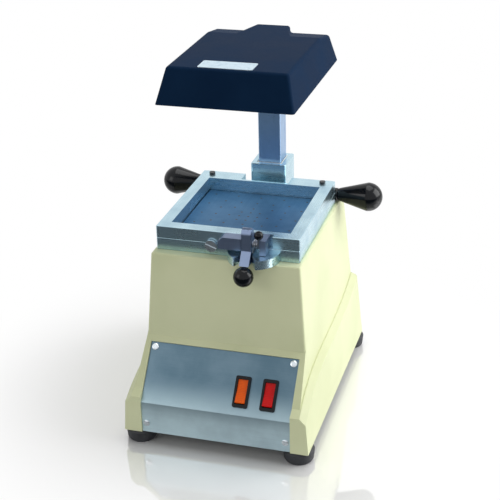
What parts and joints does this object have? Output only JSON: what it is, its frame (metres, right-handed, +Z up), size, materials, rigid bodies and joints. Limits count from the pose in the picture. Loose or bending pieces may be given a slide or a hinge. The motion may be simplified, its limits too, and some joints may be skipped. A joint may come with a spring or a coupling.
{
  "type": "dental vacuum former",
  "caption": "Bench vacuum former: cream base with sloping panel, hinged clamp frames on a square post, swivelling heater hood, lever latch.",
  "frame": {"origin": "on the table under the middle of the base", "axes": "+Z up, control panel towards -Y, +X to the operator's right"},
  "size_m": [0.255, 0.281, 0.393],
  "materials": {
    "housing": "fine satin texture, warm cream",
    "console_metal": "brushed",
    "sheet_steel": "satin paint",
    "foot_rubber": "matte",
    "gasket_rubber": "matte",
    "screw_steel": "bright",
    "black_screw": "black oxide",
    "black_plastic": "glossy",
    "orange_lens": "translucent, glossy",
    "red_lens": "translucent, glossy",
    "frame_aluminium": "machined, bright",
    "plate_aluminium": "machined, satin",
    "post_aluminium": "bright drawn",
    "rod_steel": "ground",
    "latch_steel": "ground",
    "spring_steel": "bright",
    "bearing_plastic": "natural nylon",
    "hood_paint": "dark, semi-gloss",
    "bare_label": "blank",
    "reflector": "bright",
    "ceramic": "matte",
    "element_steel": "heat-dulled",
    "motor_paint": "satin",
    "motor_steel": "satin"
  },
  "bodies": {
    "base": {"housing_shell": "housing", "bottom_plate": "sheet_steel", "rubber_feet": "foot_rubber", "foot_screws": "screw_steel", "control_panel": "console_metal", "panel_screws": "screw_steel", "vacuum_switch": "black_plastic", "heater_switch": "black_plastic", "mains_inlet": "black_plastic", "inlet_screws": "screw_steel", "post": "post_aluminium", "post_foot": "sheet_steel", "post_screws": "screw_steel", "post_cap": "rod_steel", "thrust_washer": "bearing_plastic", "swivel_nut": "screw_steel", "platform": "plate_aluminium", "plate_gasket": "gasket_rubber", "perforated_plate": "plate_aluminium", "suction_tube": "gasket_rubber", "motor_can": "motor_paint", "motor_base": "motor_paint", "motor_spider": "motor_paint", "motor_bearings": "motor_steel", "motor_stator": "motor_steel", "motor_bracket": "sheet_steel", "bracket_screws": "screw_steel"},
    "carriage": {"slide_collar": "frame_aluminium", "collar_liner": "bearing_plastic", "friction_pad": "bearing_plastic", "friction_screw": "screw_steel", "lift_arms": "rod_steel", "handle_ferrules": "black_plastic", "handle_left": "black_plastic", "handle_right": "black_plastic", "lower_frame": "frame_aluminium", "stop_screw": "screw_steel", "latch_keeper": "latch_steel"},
    "lid": {"upper_frame": "frame_aluminium", "corner_screws": "black_screw", "latch_block_left": "latch_steel", "latch_block_right": "latch_steel", "latch_block_screws": "screw_steel", "latch_pin": "rod_steel", "latch_spring": "spring_steel", "spring_tip": "black_plastic"},
    "latch": {"latch_lever": "latch_steel", "latch_knob": "black_plastic"},
    "head": {"hood": "hood_paint", "head_hub": "frame_aluminium", "reflector_pan": "reflector", "pan_standoffs": "rod_steel", "ceramic_board": "ceramic", "element_supports": "ceramic", "heater_element": "element_steel", "hood_plate": "bare_label"},
    "vacuum_button": {"vacuum_rocker": "orange_lens"},
    "heater_button": {"heater_rocker": "red_lens"},
    "rotor": {"motor_rotor": "motor_steel"}
  },
  "joints": [
    {"name": "frame_lift", "type": "slide", "parent": "base", "child": "carriage", "axis": [0, 0, 1], "range_m": [0, 0.108]},
    {"name": "lid_hinge", "type": "hinge", "parent": "carriage", "child": "lid", "pos_m": [0, 0.092, 0.206], "axis": [-1, 0, 0], "range_deg": [0, 30]},
    {"name": "latch_pivot", "type": "hinge", "parent": "lid", "child": "latch", "pos_m": [0.024, -0.0823, 0.21805], "axis": [-1, 0, 0], "range_deg": [-5, 38], "stiffness_Nm_per_rad": 0.4},
    {"name": "heater_swivel", "type": "hinge", "parent": "base", "child": "head", "pos_m": [0, 0.1006, 0.3516], "axis": [0, 0, 1], "range_deg": [-170, 170]},
    {"name": "vacuum_switch_rock", "type": "hinge", "parent": "base", "child": "vacuum_button", "pos_m": [0.0256, -0.12036, 0.06704], "axis": [1, 0, 0], "range_deg": [0, 14]},
    {"name": "heater_switch_rock", "type": "hinge", "parent": "base", "child": "heater_button", "pos_m": [0.0546, -0.12036, 0.06704], "axis": [1, 0, 0], "range_deg": [0, 14]},
    {"name": "motor_spin", "type": "hinge", "parent": "base", "child": "rotor", "pos_m": [0, 0, 0.1], "axis": [0, 0, 1], "continuous": true}
  ]
}
